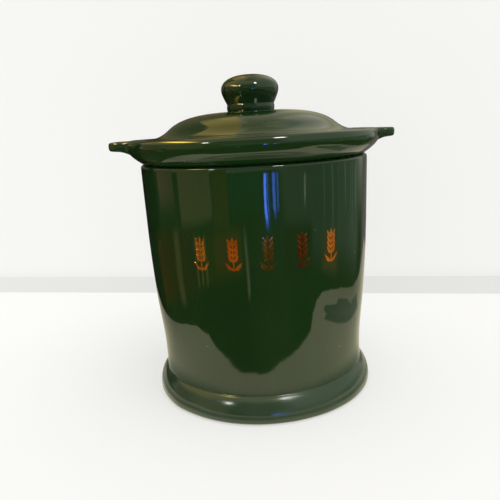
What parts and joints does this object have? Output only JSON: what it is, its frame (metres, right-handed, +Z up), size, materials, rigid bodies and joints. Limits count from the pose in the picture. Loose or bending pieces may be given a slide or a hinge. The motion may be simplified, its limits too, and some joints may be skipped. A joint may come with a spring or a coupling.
{
  "type": "bread crock",
  "caption": "Tall glazed stoneware crock for bread, with a foot band, a flared rim with lug handles, a gilt wheat motif and a loose domed lid with a mushroom knob.",
  "frame": {"origin": "centre of the foot, on the surface the crock stands on", "axes": "+Z up along the crock's axis; the lugs lie on +X and -X; the gilt ears face -Y"},
  "size_m": [0.3, 0.2644, 0.3363],
  "materials": {
    "green_glaze": "deep bottle-green high-gloss glaze",
    "gilding": "fired gilding, burnished"
  },
  "bodies": {
    "crock": {"crock_wall": "green_glaze", "foot_band": "green_glaze", "flared_rim": "green_glaze", "lug_left": "green_glaze", "lug_right": "green_glaze", "gilt_ear_1": "gilding", "gilt_ear_2": "gilding", "gilt_ear_3": "gilding", "gilt_ear_4": "gilding", "gilt_ear_5": "gilding"},
    "lid": {"lid_dome": "green_glaze", "lid_knob": "green_glaze"}
  },
  "joints": [
    {"name": "lid_lift", "type": "slide", "parent": "crock", "child": "lid", "axis": [0, 0, 1], "range_m": [0, 0.15]}
  ]
}
